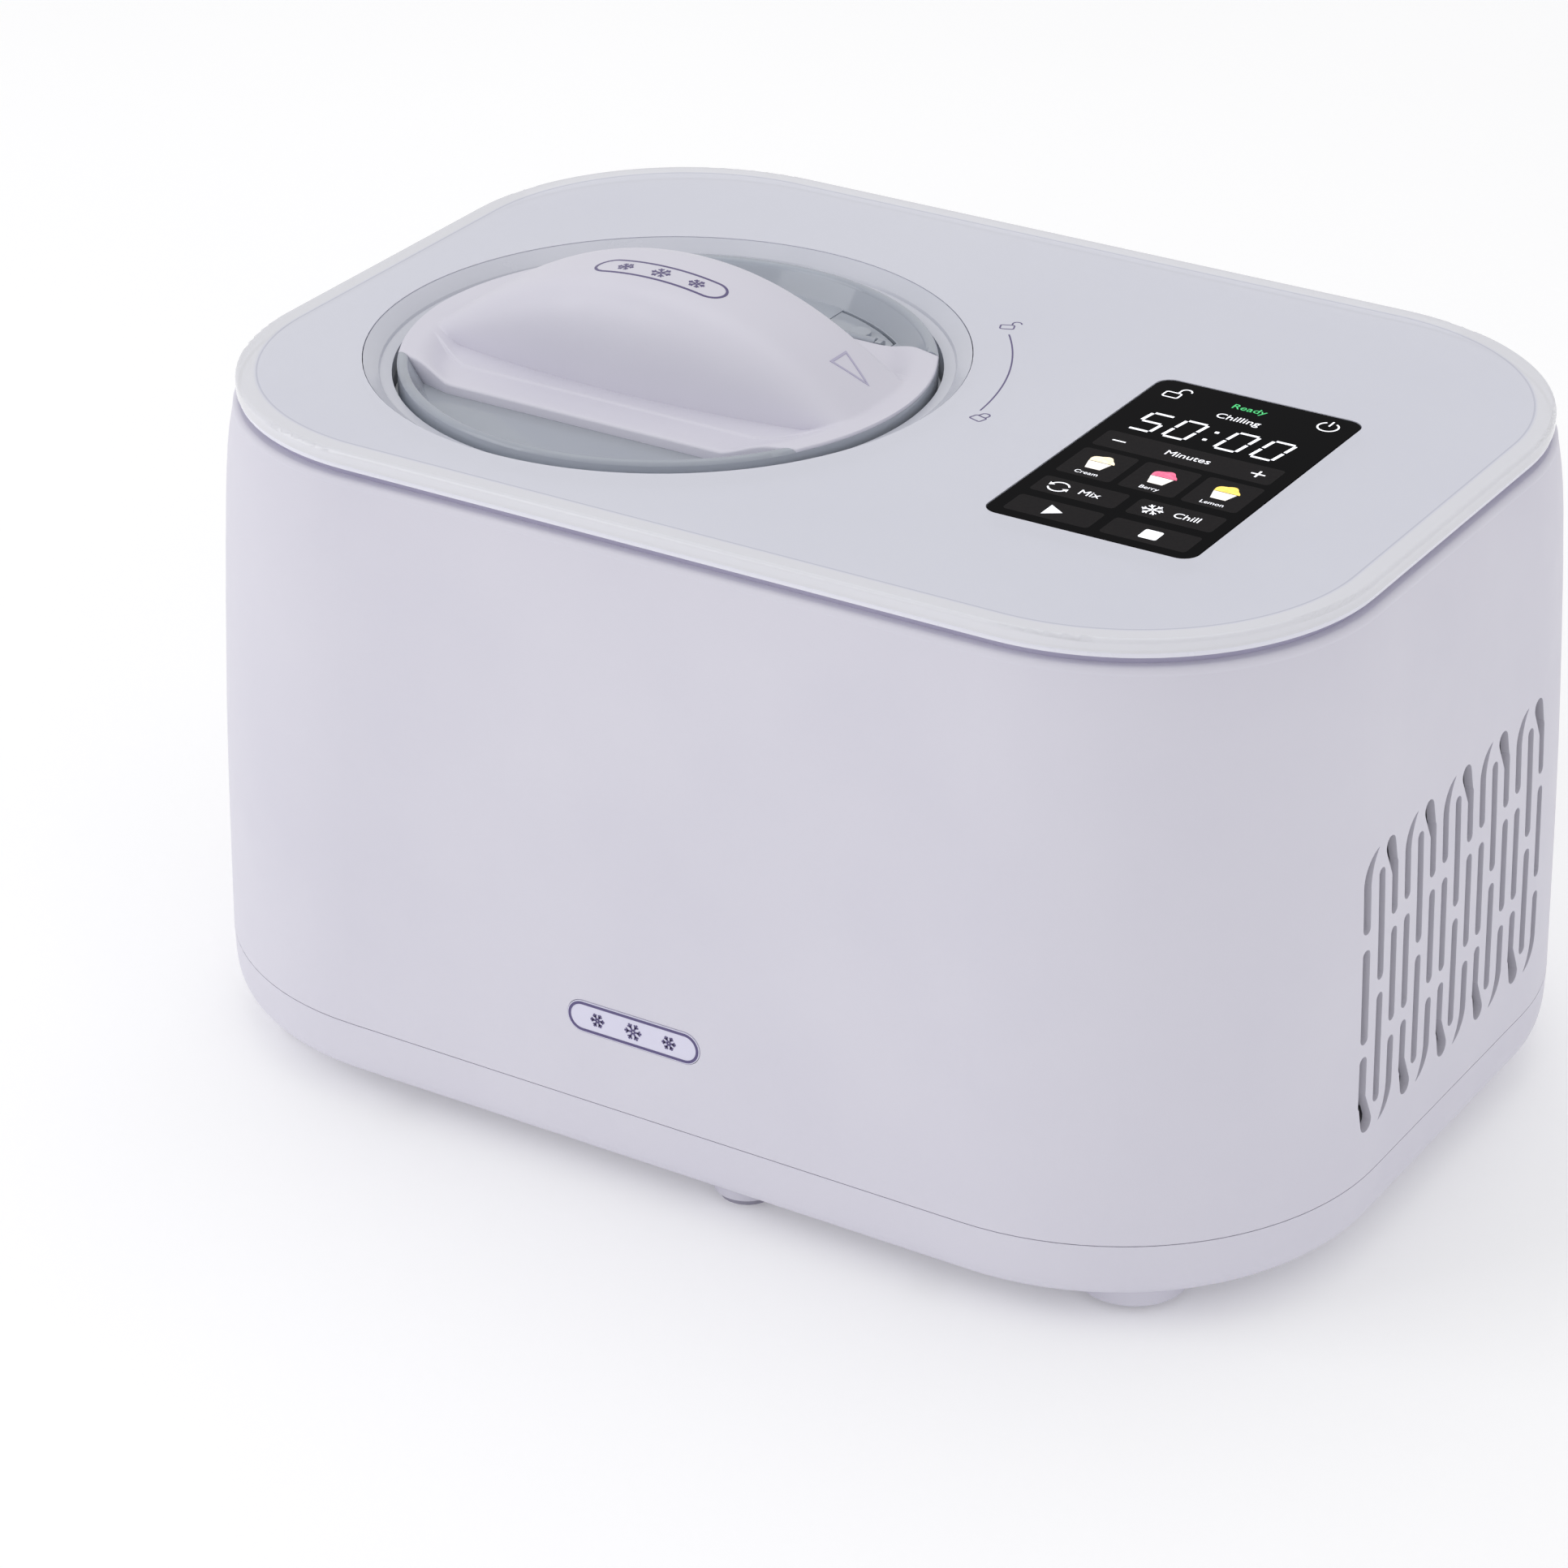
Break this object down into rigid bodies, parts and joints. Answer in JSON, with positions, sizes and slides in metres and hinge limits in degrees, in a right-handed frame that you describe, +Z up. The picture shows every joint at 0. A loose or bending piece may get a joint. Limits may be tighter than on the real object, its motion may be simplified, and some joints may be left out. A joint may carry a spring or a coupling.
{
  "type": "ice cream maker",
  "caption": "Compressor ice cream maker with a barrel-shaped lavender housing, clear top panel, touch display, lift-out bowl, driven paddle and a turn-to-lock lid with a half-moon grip.",
  "frame": {"origin": "centre of the footprint on the table, under the pads", "axes": "+X to the right along the long front, +Y to the back, +Z up"},
  "size_m": [0.4208, 0.3008, 0.2616],
  "materials": {
    "lavender_plastic": "satin, fine moulded texture",
    "lavender_gloss": "semi-gloss moulded",
    "lavender_grip": "soft satin",
    "clear_panel": "polished clear acrylic",
    "smoky_clear": "polished smoky clear plastic",
    "black_glass": "polished black glass",
    "display_lcd": "matt",
    "emblem_violet": "satin",
    "grey_rubber": "matt",
    "lavender_rubber": "matt",
    "clear_silicone": "soft satin",
    "bowl_aluminium": "brushed",
    "fin_aluminium": "bare",
    "paddle_white": "satin",
    "steel": "bare",
    "black_plastic": "fine texture",
    "nylon": "natural nylon",
    "gearbox_grey": "glass-filled plastic",
    "copper": "drawn copper tube",
    "compressor_black": "semi-gloss black paint",
    "foam": "rigid foam",
    "board_green": "solder mask",
    "component_black": "moulded",
    "ribbon_grey": "insulation",
    "pin_brass": "plated"
  },
  "bodies": {
    "cabinet": {"housing": "lavender_plastic", "base_pan": "lavender_plastic", "foot_front_left": "lavender_plastic", "foot_front_right": "lavender_plastic", "foot_rear_left": "lavender_plastic", "foot_rear_right": "lavender_plastic", "middle_feet": "lavender_plastic", "top_deck": "lavender_gloss", "bowl_collar": "lavender_gloss", "top_panel": "clear_panel", "display_glass": "black_glass", "display_panel": "display_lcd", "front_emblem": "emblem_violet", "foot_pads": "grey_rubber", "compressor_grommets": "grey_rubber", "deck_gasket": "lavender_rubber", "well_seal": "clear_silicone", "freezing_can": "bowl_aluminium", "condenser_fins": "fin_aluminium", "base_screws": "steel", "deck_screws": "steel", "gearbox_screws": "steel", "compressor_bolts": "steel", "shaft_bearings": "steel", "compressor_plate": "steel", "drive_motor": "steel", "fan_shroud": "black_plastic", "fan_motor": "black_plastic", "appliance_inlet": "black_plastic", "compressor_cover": "black_plastic", "display_carrier": "black_plastic", "gearbox_case": "gearbox_grey", "gearbox_cover": "gearbox_grey", "evaporator_coil": "copper", "condenser_coil": "copper", "refrigerant_lines": "copper", "capillary_tube": "copper", "filter_drier": "copper", "compressor": "compressor_black", "insulation": "foam", "display_board": "board_green", "power_board": "board_green", "power_parts": "component_black", "ribbon_cable": "ribbon_grey", "inlet_pins": "pin_brass"},
    "bowl": {"bowl": "bowl_aluminium"},
    "paddle": {"paddle": "paddle_white", "paddle_scrapers": "clear_silicone"},
    "lid_seal": {"lid_gasket": "clear_silicone"},
    "lid": {"lid_window": "smoky_clear", "lid_grip": "lavender_grip", "lid_emblem": "emblem_violet", "lid_screws": "steel", "flap_pin": "steel"},
    "mix_in_flap": {"mix_in_flap": "smoky_clear"},
    "drive": {"drive_shaft": "steel", "drive_gear": "nylon"},
    "motor_rotor": {"motor_pinion": "steel", "rotor_core": "steel"},
    "fan": {"fan_rotor": "black_plastic"}
  },
  "joints": [
    {"name": "bowl_lift", "type": "slide", "parent": "cabinet", "child": "bowl", "axis": [0, 0, 1], "range_m": [0, 0.16]},
    {"name": "lid_lift", "type": "slide", "parent": "bowl", "child": "lid_seal", "axis": [0, 0, 1], "range_m": [0, 0.08]},
    {"name": "lid_turn", "type": "hinge", "parent": "lid_seal", "child": "lid", "pos_m": [-0.0745, -0.0167, 0.2212], "axis": [0, 0, 1], "range_deg": [0, 38]},
    {"name": "flap_swing", "type": "hinge", "parent": "lid", "child": "mix_in_flap", "pos_m": [-0.0355, 0.0375, 0.2259], "axis": [1, 0, 0], "range_deg": [0, 75]},
    {"name": "paddle_spin", "type": "hinge", "parent": "bowl", "child": "paddle", "pos_m": [-0.0745, -0.0167, 0.15], "axis": [0, 0, 1], "continuous": true},
    {"name": "shaft_spin", "type": "hinge", "parent": "cabinet", "child": "drive", "pos_m": [-0.0745, -0.0167, 0.05], "axis": [0, 0, 1], "continuous": true},
    {"name": "pinion_spin", "type": "hinge", "parent": "cabinet", "child": "motor_rotor", "pos_m": [-0.0205, -0.0167, 0.05], "axis": [0, 0, 1], "continuous": true},
    {"name": "fan_spin", "type": "hinge", "parent": "cabinet", "child": "fan", "pos_m": [0.142, -0.007, 0.095], "axis": [1, 0, 0], "continuous": true}
  ],
  "couplings": [
    {"joint": "pinion_spin", "follows": "shaft_spin", "ratio": -3},
    {"joint": "paddle_spin", "follows": "shaft_spin", "ratio": 1}
  ]
}
